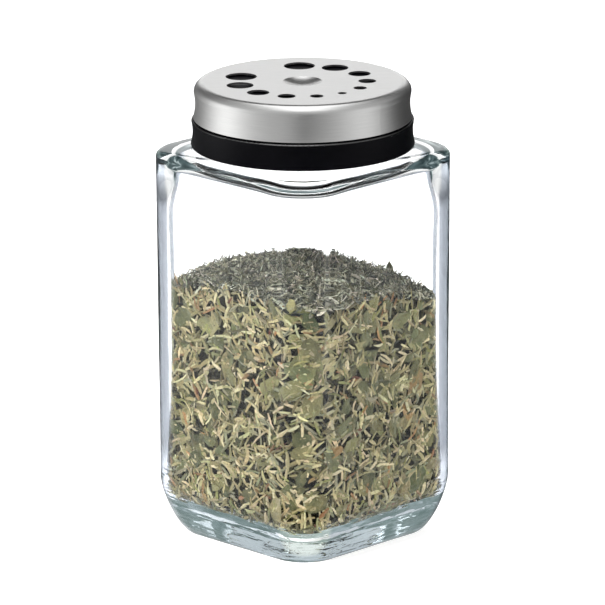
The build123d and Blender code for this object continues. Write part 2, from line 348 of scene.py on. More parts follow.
def room_slope(points, step=0.02):
    """The direction in which points get deeper fastest."""
    slope = np.stack(
        [room_depth(points + step * axis) - room_depth(points - step * axis) for axis in np.eye(3)], axis=-1
    )
    return slope / np.maximum(np.linalg.norm(slope, axis=1, keepdims=True), 1e-9)


def press(points, margin):
    """Points that would leave the room or lie in a hollow are pushed back in by this margin."""
    for _ in range(3):
        short = np.maximum(margin - room_depth(points), 0)
        points = points + room_slope(points) * short[:, None]
    for middle in WALL_HOLLOWS:
        away = points - middle
        reach = np.linalg.norm(away, axis=1)
        near = reach < HOLLOW_RADIUS + margin - HERB_GAP
        points[near] = middle + away[near] / reach[near, None] * (HOLLOW_RADIUS + margin - HERB_GAP)
    return points


def highest(forms, x, y):
    """Height of the highest of these balls over a place."""
    top = np.full(np.shape(x), -1e9)
    for radius, across, away, high in forms:
        reach = np.hypot(x - across, y - away)
        top = np.maximum(top, high - radius + np.sqrt(np.maximum(radius**2 - reach**2, 0)))
    return top


def mound_forms():
    """Radius, place and top of the balls that the top of the herbs is made of."""
    reach = (JAR_HALF - WALL_HIGH) * math.sqrt(2)
    forms = [((reach**2 + MOUND_RISE**2) / (2 * MOUND_RISE), *MOUND_PLACE, MOUND_HEIGHT)]
    for radius, rise, across, away in [HEAP, BROW]:
        forms.append((radius, across, away, highest(forms[:1], across, away) + rise))
    return forms


def wall_hollows():
    """Middles of the balls that hollow out the herbs at the walls."""
    places = []
    out = HOLLOW_RADIUS - HOLLOW_DEPTH
    for row in range(HOLLOW_ROWS):
        for side in range(4):
            for column in range(HOLLOW_COLUMNS + 1):
                stray = (row * HOLLOW_COLUMNS + column) * STRAY_TURNS[0] + side
                height = HOLLOW_LOW + row * HOLLOW_PITCH + HOLLOW_STRAY * math.cos(stray * STRAY_TURNS[1])
                half, corner = room_size(height)
                half, corner = half - HERB_GAP, corner - HERB_GAP
                turn = side * math.pi / 2
                across = (column - (HOLLOW_COLUMNS - 1) / 2) * HOLLOW_PITCH + HOLLOW_STRAY * math.sin(stray)
                away = half + out
                if column == HOLLOW_COLUMNS:
                    turn += math.pi / 4
                    across = 0
                    away = (half - corner) * math.sqrt(2) + corner + out
                x = away * math.cos(turn) - across * math.sin(turn)
                y = away * math.sin(turn) + across * math.cos(turn)
                places.append((x, y, height))
    return np.array(places)


def mound_hollows():
    """Middles of the balls that hollow out the top of the herbs."""
    places = []
    middle = (HOLLOW_COLUMNS - 1) / 2
    for row in range(HOLLOW_COLUMNS):
        for column in range(HOLLOW_COLUMNS):
            stray = (row * HOLLOW_COLUMNS + column) * STRAY_TURNS[0]
            x = (column - middle) * HOLLOW_PITCH + HOLLOW_STRAY * math.sin(stray)
            y = (row - middle) * HOLLOW_PITCH + HOLLOW_STRAY * math.cos(stray * STRAY_TURNS[1])
            places.append((x, y, float(highest(FORMS, x, y)) + HOLLOW_RADIUS - HOLLOW_DEPTH))
    return np.array(places)


FORMS = mound_forms()
WALL_HOLLOWS = wall_hollows()
MOUND_HOLLOWS = mound_hollows()


def heap(x, y):
    """Height of the herbs' top over the middle of the jar, with its hollows."""
    top = highest(FORMS, x, y)
    for across, away, high in MOUND_HOLLOWS:
        reach = np.hypot(x - across, y - away)
        low = high - np.sqrt(np.maximum(HOLLOW_RADIUS**2 - reach**2, 0))
        top = np.where(reach < HOLLOW_RADIUS, np.minimum(top, low), top)
    return top + LOOSE_RISE


def unit(vectors):
    return vectors / np.maximum(np.linalg.norm(vectors, axis=-1, keepdims=True), 1e-9)


def wall_places(rng, count, depth_low, depth_high):
    """Random places at the walls and the rounding below them, with the way in."""
    contour = np.linspace(0, 2 * math.pi, 1441)
    reach = ring_radius(contour, *room_size(0))
    line = np.stack([reach * np.cos(contour), reach * np.sin(contour)], axis=-1)
    length = np.concatenate([[0], np.cumsum(np.linalg.norm(np.diff(line, axis=0), axis=1))])
    along = rng.uniform(0, length[-1], count)
    x, y = np.interp(along, length, line[:, 0]), np.interp(along, length, line[:, 1])
    top = heap(x, y)
    points = np.stack([x, y, rng.uniform(0, 1, count) * (top - ROOM_FLOOR) + ROOM_FLOOR], axis=-1)
    inward = np.stack([-x, -y], axis=-1) / np.hypot(x, y)[:, None]
    points[:, :2] += inward * 0.5
    depth = rng.uniform(depth_low, depth_high, count)
    for _ in range(4):
        points = points + room_slope(points) * (depth - room_depth(points))[:, None]
    return points, room_slope(points)


def floor_places(rng, count, depth_low, depth_high):
    """Random places on the floor, with the way up."""
    x = rng.uniform(-FLOOR_REACH, FLOOR_REACH, count)
    y = rng.uniform(-FLOOR_REACH, FLOOR_REACH, count)
    points = np.stack([x, y, ROOM_FLOOR + rng.uniform(depth_low, depth_high, count)], axis=-1)
    return points, np.tile([0.0, 0.0, 1.0], (count, 1))


def top_places(rng, count, depth_low, depth_high):
    """Random places on the heap, with the way down into it."""
    width = 2 * room_size(0)[0]
    points = rng.uniform(-0.5, 0.5, (2 * count, 2)) * width
    flat = np.concatenate([points, np.full((len(points), 1), HERB_MIDDLE)], axis=1)
    points = points[room_depth(flat) > 0.4][:count]
    x, y = points.T
    step = 0.3
    slope_x = (heap(x + step, y) - heap(x - step, y)) / (2 * step)
    slope_y = (heap(x, y + step) - heap(x, y - step)) / (2 * step)
    down = unit(np.stack([slope_x, slope_y, -np.ones_like(x)], axis=-1))
    surface = np.stack([x, y, heap(x, y)], axis=-1)
    return surface + down * rng.uniform(depth_low, depth_high, len(x))[:, None], down


def layout(rng, inward, tilt):
    """A random lie for each flake: its length, its width and its thickness directions."""
    count = len(inward)
    seed = np.tile([0.0, 0.0, 1.0], (count, 1))
    seed[np.abs(inward[:, 2]) > 0.8] = [1.0, 0.0, 0.0]
    across = unit(np.cross(seed, inward))
    rise = np.cross(inward, across)
    turn = rng.uniform(0, math.pi, count)[:, None]
    long = across * np.cos(turn) + rise * np.sin(turn)
    lean = rng.normal(0, tilt, count)[:, None]
    long = unit(long * np.cos(lean) + inward * np.sin(lean))
    wide = unit(np.cross(inward, long))
    roll = rng.normal(0, tilt, count)[:, None]
    thick = unit(np.cross(long, wide))
    wide = wide * np.cos(roll) + thick * np.sin(roll)
    return long, wide, unit(np.cross(long, wide))


def needle_shapes(rng, count, length, width, thickness, sections=4):
    """Needle-like leaves and stem bits, four-sided, bent, with blunt ends."""
    t = np.linspace(-1, 1, sections)
    taper = 1 - 0.4 * np.abs(t) ** 4
    long = rng.uniform(*length, count)[:, None]
    wide = rng.uniform(*width, count)[:, None]
    high = rng.uniform(*thickness, count)[:, None]
    bend = rng.normal(0, 0.055, count)[:, None] * long
    arch = rng.normal(0, 0.05, count)[:, None] * long
    x = long / 2 * t
    side = bend * (t**2 - 0.33)
    lift = arch * (t**2 - 0.33)
    corners = [(0.0, 1.0), (1.0, 0.0), (0.0, -1.0), (-1.0, 0.0)]
    points = [
        np.stack([x, side + a * wide / 2 * taper, lift + b * high / 2 * taper], axis=-1) for a, b in corners
    ]
    points = np.stack(points, axis=2).reshape(count, sections * 4, 3)
    faces = []
    for row in range(sections - 1):
        for step in range(4):
            after = (step + 1) % 4
            faces.append((row * 4 + step, row * 4 + after, row * 4 + 4 + after, row * 4 + 4 + step))
    faces += [(3, 2, 1, 0), tuple(sections * 4 - 4 + step for step in range(4))]
    around = np.tile([0.0, 0.25, 0.5, 0.75], sections)
    along = np.repeat((t + 1) / 2, 4)
    return points, faces, np.stack([along, around], axis=-1)


def leaf_shapes(rng, count, length, narrow, thickness, rim=9):
    """Torn bits of leaf: thin, curled and ragged."""
    angle = np.linspace(0, 2 * math.pi, rim + 1)[:-1]
    long = rng.uniform(*length, count)[:, None]
    wide = long * rng.uniform(*narrow, count)[:, None]
    ragged = rng.uniform(0.62, 1.12, (count, rim))
    x = long / 2 * np.cos(angle) * ragged
    y = wide / 2 * np.sin(angle) * ragged
    rough = rng.normal(0, 0.08, (count, 2 * rim + 1))
    x = np.concatenate([0 * long, 0.55 * x, x], axis=1)
    y = np.concatenate([0 * long, 0.55 * y, y], axis=1)
    curl = rng.normal(0, 0.35, count)[:, None]
    twist = rng.normal(0, 0.3, count)[:, None]
    lift = curl * (2 * y / wide) ** 2 * wide / 4 + twist * x * y / long + rough * wide / 3
    top = np.stack([x, y, lift], axis=-1)
    drop = np.array([0.0, 0.0, thickness])
    points = np.concatenate([top, top - drop], axis=1)
    size = 2 * rim + 1
    faces = []
    for step in range(rim):
        after = (step + 1) % rim
        a, b, c, d = 1 + step, 1 + after, 1 + rim + after, 1 + rim + step
        faces += [(0, a, b), (a, d, c, b), (size, size + b, size + a)]
        faces += [(size + a, size + b, size + c, size + d), (d, size + d, size + c, c)]
    flat = np.stack([x / long, y / wide], axis=-1).mean(axis=0) * 0.45
    spread = np.concatenate([flat + [0.25, 0.5], flat + [0.75, 0.5]])
    return points, faces, spread


def crumb_shapes(rng, count, size):
    """Crumbs and dust: little uneven lumps of eight faces."""
    base = np.array([[1, 0, 0], [-1, 0, 0], [0, 1, 0], [0, -1, 0], [0, 0, 1], [0, 0, -1.0]])
    points = base * rng.uniform(0.5, 1.0, (count, 6, 1)) * rng.uniform(*size, (count, 1, 3)) / 2
    faces = [(0, 2, 4), (2, 1, 4), (1, 3, 4), (3, 0, 4), (2, 0, 5), (1, 2, 5), (3, 1, 5), (0, 3, 5)]
    spread = np.array([[0.1, 0.5], [0.9, 0.5], [0.5, 0.9], [0.5, 0.1], [0.4, 0.5], [0.6, 0.5]])
    return points, faces, spread


def scatter(name, rng, places, shapes, palette, tilt, margin=0.12):
    """One object of many flakes, with a colour for each of them."""
    centres, inward = places
    shape, faces, spread = shapes
    long, wide, thick = layout(rng, inward, tilt)
    axes = np.stack([long, wide, thick], axis=1)
    points = np.einsum("nmk,nkc->nmc", shape, axes) + centres[:, None, :]
    count, size = points.shape[:2]
    points = press(points.reshape(-1, 3), margin)
    offsets = (np.arange(count) * size)[:, None]
    all_faces = []
    for face in faces:
        all_faces += (offsets + np.array(face)).tolist()
    piece = new_object(name, points, all_faces, smooth_faces=False)
    colours, weights = palette
    pick = rng.choice(len(colours), count, p=np.array(weights) / sum(weights))
    shade = np.array([linear(c) for c in colours])[pick] * rng.uniform(0.75, 1.25, (count, 1))
    shade = np.clip(shade * rng.normal(1, 0.04, (count, 3)), 0, 1)
    tone = np.concatenate([np.repeat(shade, size, axis=0), np.ones((count * size, 1))], axis=1)
    mesh = piece.data
    mesh.color_attributes.new("tone", "FLOAT_COLOR", "POINT").data.foreach_set("color", tone.ravel())
    side = math.ceil(math.sqrt(count))
    cell = np.stack([np.arange(count) % side, np.arange(count) // side], axis=-1)
    places_uv = ((cell[:, None, :] + 0.08 + 0.84 * spread[None]) / side).reshape(-1, 2)
    corners = np.empty(len(mesh.loops), dtype=np.int32)
    mesh.loops.foreach_get("vertex_index", corners)
    mesh.uv_layers.new(name="OFBake").data.foreach_set("uv", places_uv[corners].ravel())
    return piece


def herb_core():
    """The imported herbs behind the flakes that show."""
    angles = np.linspace(0, 2 * math.pi, 121)[:-1]
    reach = ring_radius(angles, *room_size(0))
    x, y = reach * np.cos(angles), reach * np.sin(angles)
    rows = []
    for share in np.linspace(0.05, 1, 16):
        rows.append(np.stack([x * share, y * share, np.full_like(x, ROOM_FLOOR - 3)], axis=-1))
    for share in np.linspace(0, 1, 60)[1:]:
        rows.append(np.stack([x, y, lerp(ROOM_FLOOR, heap(x, y) - CORE_TOP_DEPTH, share)], axis=-1))
    for share in np.linspace(1, 0.03, 30)[1:]:
        top = heap(x * share, y * share) - CORE_TOP_DEPTH
        rows.append(np.stack([x * share, y * share, top], axis=-1))
    points = press(np.concatenate(rows), CORE_DEPTH)
    rough = np.sin(points @ np.array([[2.1, 0.4, 1.3], [0.7, 2.3, 1.1], [1.5, 0.9, 2.6]]))
    points = press(points + CORE_ROUGH * rough, CORE_DEPTH - 0.5)
    count = len(angles)
    faces = []
    for row in range(len(rows) - 1):
        for step in range(count):
            after = (step + 1) % count
            a, b = row * count + after, row * count + step
            faces.append((a, b, b + count, a + count))
    last = (len(rows) - 1) * count
    faces.append(tuple(range(count)))
    faces.append(tuple(last + step for step in reversed(range(count))))
    return new_object("herb_core", points, faces)


# Materials


class Sheet:
    """A material's nodes, made and joined in few words."""

    def __init__(self, name):
        self.material = bpy.data.materials.new(name)
        self.material.use_nodes = True
        self.tree = self.material.node_tree
        self.tree.nodes.clear()

    def node(self, kind, **settings):
        made = self.tree.nodes.new(kind)
        for key, value in settings.items():
            setattr(made, key, value)
        return made

    def join(self, source, target):
        self.tree.links.new(source, target)

    def math(self, operation, a, b=None):
        made = self.node("ShaderNodeMath", operation=operation)
        for socket, value in zip(made.inputs, [a, b]):
            if value is None:
                continue
            if isinstance(value, (int, float)):
                socket.default_value = value
            else:
                self.join(value, socket)
        return made.outputs[0]

    def ramp(self, factor, stops):
        made = self.node("ShaderNodeValToRGB")
        elements = made.color_ramp.elements
        while len(elements) < len(stops):
            elements.new(0.5)
        for element, (place, colour) in zip(elements, stops):
            element.position = place
            element.color = (*colour, 1) if isinstance(colour, tuple) else (colour, colour, colour, 1)
        self.join(factor, made.inputs[0])
        return made.outputs[0]

    def noise(self, vector, scale, detail=4.0, roughness=0.5):
        made = self.node("ShaderNodeTexNoise")
        made.inputs["Scale"].default_value = scale
        made.inputs["Detail"].default_value = detail
        made.inputs["Roughness"].default_value = roughness
        self.join(vector, made.inputs["Vector"])
        return made.outputs["Fac"]

    def mix(self, factor, a, b, blend="MIX"):
        made = self.node("ShaderNodeMix", data_type="RGBA", blend_type=blend)
        for socket, value in [(made.inputs[0], factor), (made.inputs[6], a), (made.inputs[7], b)]:
            if isinstance(value, (int, float)):
                socket.default_value = value
            elif isinstance(value, tuple):
                socket.default_value = (*value, 1)
            else:
                self.join(value, socket)
        return made.outputs[2]

    def bump(self, height, distance, strength=1.0, normal=None):
        made = self.node("ShaderNodeBump")
        made.inputs["Strength"].default_value = strength
        made.inputs["Distance"].default_value = distance
        self.join(height, made.inputs["Height"])
        if normal is not None:
            self.join(normal, made.inputs["Normal"])
        return made.outputs[0]

    def place(self):
        return self.node("ShaderNodeTexCoord").outputs["Object"]

    def output(self, surface, volume=None):
        made = self.node("ShaderNodeOutputMaterial")
        self.join(surface, made.inputs["Surface"])
        if volume is not None:
            self.join(volume, made.inputs["Volume"])
        return self.material


# How much light the glass lets in, by how far its face turns away: all over, and at the upright corners. The
# darkening where the face turns away is painted shade at the glass's edges.
GLASS_TINT_AND_EDGE_SHADE = [
    (0.0, (0.995, 0.997, 0.996)), (0.35, (0.985, 0.99, 0.99)), (0.42, (0.42, 0.47, 0.56)),
    (0.6, (0.34, 0.39, 0.48)), (0.76, (0.14, 0.165, 0.21)), (0.88, (0.03, 0.035, 0.05)),
    (1.0, (0.008, 0.01, 0.014)),
]
CORNER_TINT_AND_EDGE_SHADE = [
    (0.0, (0.995, 0.997, 0.996)), (0.3, (0.985, 0.99, 0.99)), (0.35, (0.11, 0.125, 0.155)),
    (0.5, (0.06, 0.07, 0.09)), (0.62, (0.075, 0.088, 0.11)), (0.76, (0.03, 0.035, 0.046)),
    (0.88, (0.012, 0.014, 0.02)), (1.0, (0.008, 0.01, 0.014)),
]


def glass_material():
    sheet = Sheet("clear_glass_look")
    place = sheet.place()
    split = sheet.node("ShaderNodeSeparateXYZ")
    sheet.join(place, split.inputs[0])
    height = sheet.math("MULTIPLY", split.outputs[2], 1 / (RIM_HEIGHT * MM))
    geometry = sheet.node("ShaderNodeNewGeometry")
    normal = sheet.node("ShaderNodeSeparateXYZ")
    sheet.join(geometry.outputs["Normal"], normal.inputs[0])
    facing = sheet.node("ShaderNodeLayerWeight")
    facing.inputs["Blend"].default_value = 0.5
    away = facing.outputs["Facing"]
    # The four upright corners show darker bands where they turn away: painted shade.
    across = [sheet.math("ABSOLUTE", split.outputs[axis]) for axis in range(2)]
    smaller = sheet.math("MULTIPLY", sheet.math("MINIMUM", *across), 1 / (JAR_HALF * MM))
    turned = sheet.ramp(smaller, [(0.64, 0.0), (0.675, 1.0)])
    upright = sheet.ramp(height, [(0.14, 0.0), (0.2, 1.0), (0.79, 1.0), (0.83, 0.0)])
    corner = sheet.math("MULTIPLY", turned, upright)
    edge_shaded_tint = sheet.mix(corner, sheet.ramp(away, GLASS_TINT_AND_EDGE_SHADE), sheet.ramp(away, CORNER_TINT_AND_EDGE_SHADE))
    level = sheet.ramp(normal.outputs[2], [(0.12, 0.0), (0.45, 1.0)])
    level = sheet.math("MAXIMUM", level, geometry.outputs["Backfacing"])
    surface = sheet.node("ShaderNodeBsdfPrincipled")
    surface.inputs["Transmission Weight"].default_value = 1.0
    surface.inputs["Roughness"].default_value = 0.0
    surface.inputs["IOR"].default_value = 1.5
    surface.inputs["Specular Tint"].default_value = (0.03, 0.03, 0.03, 1)
    sheet.join(sheet.mix(level, edge_shaded_tint, (1.0, 1.0, 1.0)), surface.inputs["Base Color"])
    # Pressed glass runs in level streaks round the heel.
    stretched = sheet.node("ShaderNodeCombineXYZ")
    for axis, scale in enumerate([70.0, 70.0, 420.0]):
        sheet.join(sheet.math("MULTIPLY", split.outputs[axis], scale), stretched.inputs[axis])
    streaks = sheet.noise(stretched.outputs[0], 1.0, 2.0, 0.5)
    low = sheet.ramp(height, [(0.0, 1.0), (0.12, 1.0), (0.17, 0.0)])
    calm = sheet.bump(sheet.noise(place, 60.0, 2.0), 0.0002, 0.12)
    heel = sheet.bump(sheet.math("MULTIPLY", streaks, low), 0.0012, 0.5, calm)
    sheet.join(heel, surface.inputs["Normal"])
    # A faint veil of painted light, a glow that stands in for a reflection, lies on the rounded corners that
    # face the viewer, as it does on the flats.
    faced = sheet.ramp(away, [(0.12, 1.0), (0.3, 0.0)])
    outer = sheet.math("SUBTRACT", 1.0, geometry.outputs["Backfacing"])
    veiled = sheet.math("MULTIPLY", corner, sheet.math("MULTIPLY", faced, outer))
    veil = sheet.node("ShaderNodeEmission")
    sheet.join(sheet.mix(veiled, (0.0, 0.0, 0.0), (0.019, 0.02, 0.023)), veil.inputs["Color"])
    bright = sheet.node("ShaderNodeAddShader")
    sheet.join(surface.outputs[0], bright.inputs[0])
    sheet.join(veil.outputs[0], bright.inputs[1])
    clear = sheet.node("ShaderNodeBsdfTransparent")
    clear.inputs["Color"].default_value = (0.95, 0.97, 0.96, 1)
    path = sheet.node("ShaderNodeLightPath")
    either = sheet.math("MAXIMUM", path.outputs["Is Shadow Ray"], path.outputs["Is Diffuse Ray"])
    mixed = sheet.node("ShaderNodeMixShader")
    sheet.join(either, mixed.inputs[0])
    sheet.join(bright.outputs[0], mixed.inputs[1])
    sheet.join(clear.outputs[0], mixed.inputs[2])
    # Light that is caught inside the thick glass is painted in as a glow once a ray has made a few glossy
    # bounces: grey-green streaks, darker in the shoulder.
    caught = [(0.3, (0.13, 0.19, 0.17)), (0.5, (0.30, 0.38, 0.35)), (0.66, (0.75, 0.82, 0.82))]
    above = [(0.4, (0.03, 0.05, 0.055)), (0.56, (0.12, 0.17, 0.18)), (0.68, (0.7, 0.78, 0.8))]
    upper = sheet.ramp(height, [(0.4, 0.0), (0.6, 1.0)])
    colour = sheet.mix(upper, sheet.ramp(streaks, caught), sheet.ramp(streaks, above))
    painted_trapped_glow = sheet.node("ShaderNodeEmission")
    sheet.join(colour, painted_trapped_glow.inputs["Color"])
    held = sheet.node("ShaderNodeMixShader")
    sheet.join(sheet.math("GREATER_THAN", path.outputs["Glossy Depth"], 2.5), held.inputs[0])
    sheet.join(mixed.outputs[0], held.inputs[1])
    sheet.join(painted_trapped_glow.outputs[0], held.inputs[2])
    inside = sheet.node("ShaderNodeVolumeAbsorption")
    inside.inputs["Color"].default_value = (0.66, 0.80, 0.75, 1)
    inside.inputs["Density"].default_value = 12.0
    return sheet.output(held.outputs[0], inside.outputs[0])


def herb_material(name, leafy):
    sheet = Sheet(name)
    tone = sheet.node("ShaderNodeAttribute", attribute_name="tone").outputs["Color"]
    place = sheet.place()
    fine = sheet.noise(place, 2600.0, 3.0, 0.6)
    coarse = sheet.noise(place, 500.0, 2.0)
    spots = sheet.ramp(fine, [(0.3, 0.72), (0.55, 1.0), (0.75, 1.22)])
    colour = sheet.mix(1.0, tone, spots, "MULTIPLY")
    colour = sheet.mix(sheet.ramp(coarse, [(0.45, 0.0), (0.75, 0.35)]), colour, linear((150, 140, 96)))
    surface = sheet.node("ShaderNodeBsdfPrincipled")
    surface.inputs["Roughness"].default_value = 0.72
    surface.inputs["Specular IOR Level"].default_value = 0.3
    surface.inputs["Sheen Weight"].default_value = 0.15
    sheet.join(colour, surface.inputs["Base Color"])
    sheet.join(sheet.bump(fine, 0.0002, 0.5 if leafy else 0.35), surface.inputs["Normal"])
    return sheet.output(surface.outputs[0])


def core_material():
    sheet = Sheet("herb_core_shade_look")
    place = sheet.place()
    grain = sheet.noise(place, 900.0, 5.0, 0.65)
    # Near black to dark olive: painted shade in the gaps behind the flakes.
    shades = [(0.3, (14, 14, 9)), (0.5, (34, 33, 23)), (0.64, (62, 60, 42)), (0.76, (96, 92, 66))]
    colour = sheet.ramp(grain, [(share, linear(shade)) for share, shade in shades])
    surface = sheet.node("ShaderNodeBsdfPrincipled")
    surface.inputs["Roughness"].default_value = 0.85
    surface.inputs["Specular IOR Level"].default_value = 0.2
    sheet.join(colour, surface.inputs["Base Color"])
    sheet.join(sheet.bump(grain, 0.0008, 0.9), surface.inputs["Normal"])
    return sheet.output(surface.outputs[0])


def steel_material():
    sheet = Sheet("brushed_steel_look")
    place = sheet.place()
    split = sheet.node("ShaderNodeSeparateXYZ")
    sheet.join(place, split.inputs[0])
    x, y, z = split.outputs
    around = sheet.math("ARCTAN2", y, x)
    skirt = sheet.node("ShaderNodeCombineXYZ")
    sheet.join(sheet.math("MULTIPLY", around, 0.6), skirt.inputs[0])
    sheet.join(sheet.math("MULTIPLY", z, 3800.0), skirt.inputs[1])
    flat = sheet.node("ShaderNodeCombineXYZ")
    sheet.join(sheet.math("MULTIPLY", sheet.math("ADD", x, y), 60.0), flat.inputs[0])
    sheet.join(sheet.math("MULTIPLY", sheet.math("SUBTRACT", x, y), 3800.0), flat.inputs[1])
    upward = sheet.node("ShaderNodeSeparateXYZ")
    sheet.join(sheet.node("ShaderNodeNewGeometry").outputs["Normal"], upward.inputs[0])
    level = sheet.ramp(sheet.math("ABSOLUTE", upward.outputs[2]), [(0.75, 0.0), (0.97, 1.0)])
    skirt_lines = sheet.noise(skirt.outputs[0], 5.0, 3.0, 0.7)
    flat_lines = sheet.noise(flat.outputs[0], 1.6, 3.0, 0.7)
    lines = sheet.mix(level, skirt_lines, flat_lines)
    worn = sheet.noise(place, 140.0, 3.0)
    shades = [(0.25, (0.60, 0.605, 0.60)), (0.5, (0.71, 0.71, 0.70)), (0.75, (0.78, 0.78, 0.77))]
    colour = sheet.ramp(lines, shades)
    colour = sheet.mix(sheet.ramp(worn, [(0.35, 0.0), (0.8, 0.12)]), colour, (0.5, 0.5, 0.5))
    surface = sheet.node("ShaderNodeBsdfPrincipled")
    surface.inputs["Metallic"].default_value = 1.0
    surface.inputs["Anisotropic"].default_value = 0.55
    sheet.join(colour, surface.inputs["Base Color"])
    sheet.join(sheet.ramp(lines, [(0.2, 0.27), (0.8, 0.36)]), surface.inputs["Roughness"])
    ring = sheet.node("ShaderNodeTangent", direction_type="RADIAL", axis="Z")
    straight = sheet.node("ShaderNodeCombineXYZ")
    straight.inputs[0].default_value = 0.707
    straight.inputs[1].default_value = 0.707
    sheet.join(sheet.mix(level, ring.outputs[0], straight.outputs[0]), surface.inputs["Tangent"])
    sheet.join(sheet.bump(lines, 0.00002, 0.4), surface.inputs["Normal"])
    return sheet.output(surface.outputs[0])


def plastic_material():
    sheet = Sheet("black_plastic_look")
    place = sheet.place()
    grain = sheet.noise(place, 3000.0, 2.0)
    cloud = sheet.noise(place, 120.0, 3.0)
    colour = sheet.ramp(cloud, [(0.3, (0.0012, 0.0012, 0.002)), (0.7, (0.0022, 0.0022, 0.003))])
    surface = sheet.node("ShaderNodeBsdfPrincipled")
    surface.inputs["Specular IOR Level"].default_value = 0.05
    sheet.join(colour, surface.inputs["Base Color"])
    sheet.join(sheet.ramp(cloud, [(0.2, 0.3), (0.8, 0.42)]), surface.inputs["Roughness"])
    sheet.join(sheet.bump(grain, 0.00002, 0.3), surface.inputs["Normal"])
    split = sheet.node("ShaderNodeSeparateXYZ")
    sheet.join(place, split.inputs[0])
    edge = sheet.ramp(
        sheet.math("SUBTRACT", sheet.math("MULTIPLY", split.outputs[2], 1 / MM), RING_HIGH - 1),
        [(0.7, 0.0), (0.8, 1.0), (0.98, 1.0), (1.0, 0.0)],
    )
    rubbed = sheet.node("ShaderNodeBsdfGlossy")
    rubbed.inputs["Color"].default_value = (0.14, 0.14, 0.14, 1)
    rubbed.inputs["Roughness"].default_value = 0.22
    mixed = sheet.node("ShaderNodeMixShader")
    sheet.join(edge, mixed.inputs[0])
    sheet.join(surface.outputs[0], mixed.inputs[1])
    sheet.join(rubbed.outputs[0], mixed.inputs[2])
    return sheet.output(mixed.outputs[0])


def rubber_material():
    sheet = Sheet("seal_rubber_look")
    place = sheet.place()
    grain = sheet.noise(place, 1800.0, 3.0)
    cloud = sheet.noise(place, 90.0, 3.0)
    colour = sheet.ramp(cloud, [(0.3, linear((214, 214, 208))), (0.7, linear((228, 228, 224)))])
    surface = sheet.node("ShaderNodeBsdfPrincipled")
    surface.inputs["Roughness"].default_value = 0.55
    sheet.join(colour, surface.inputs["Base Color"])
    sheet.join(sheet.bump(grain, 0.00005, 0.4), surface.inputs["Normal"])
    return sheet.output(surface.outputs[0])


# Light


def studio(sheet, vector, stops):
    """Brightness of the studio by the way round it, as metal and glass reflect it, a half of it."""
    split = sheet.node("ShaderNodeSeparateXYZ")
    sheet.join(vector, split.inputs[0])
    x, y, z = split.outputs
    across = sheet.math("ADD", x, y)
    along = sheet.math("SUBTRACT", x, y)
    turn = sheet.math("ARCTAN2", across, along)
    share = sheet.math("ADD", sheet.math("DIVIDE", turn, 2 * math.pi), 0.5)
    return sheet.ramp(share, [((angle + 180) / 360, value / 2) for angle, value in stops]), across, along, z


def mirrored(sheet, path):
    """One for rays that come straight from a reflection, nothing for those that came through glass."""
    straight = sheet.math("SUBTRACT", 1.0, path.outputs["Is Transmission Ray"])
    return sheet.math("MULTIPLY", path.outputs["Is Glossy Ray"], straight)


# Degrees round from the camera, to its right, and the brightness there
SIDE_STOPS = [
    (-144, 0.18), (-132, 0.24), (-120, 0.45), (-108, 0.95), (-96, 1.55), (-84, 1.65), (-72, 1.2),
    (-60, 0.78), (-46, 0.55), (-24, 0.55), (-12, 0.62), (-4, 0.12), (4, 0.12), (12, 0.36), (24, 0.42),
    (36, 0.55), (48, 0.75), (60, 0.92), (72, 1.1), (84, 0.7), (96, 0.3), (108, 0.1), (120, 0.03),
]
FLOOR_STOPS = [(-180, 0.10), (-156, 0.10), *SIDE_STOPS, (150, 0.04), (180, 0.05)]
WALL_STOPS = [
    (-180, 1.25), (-170, 1.2), (-160, 0.15), *SIDE_STOPS, (150, 0.05), (160, 0.15), (170, 1.2), (180, 1.25),
]


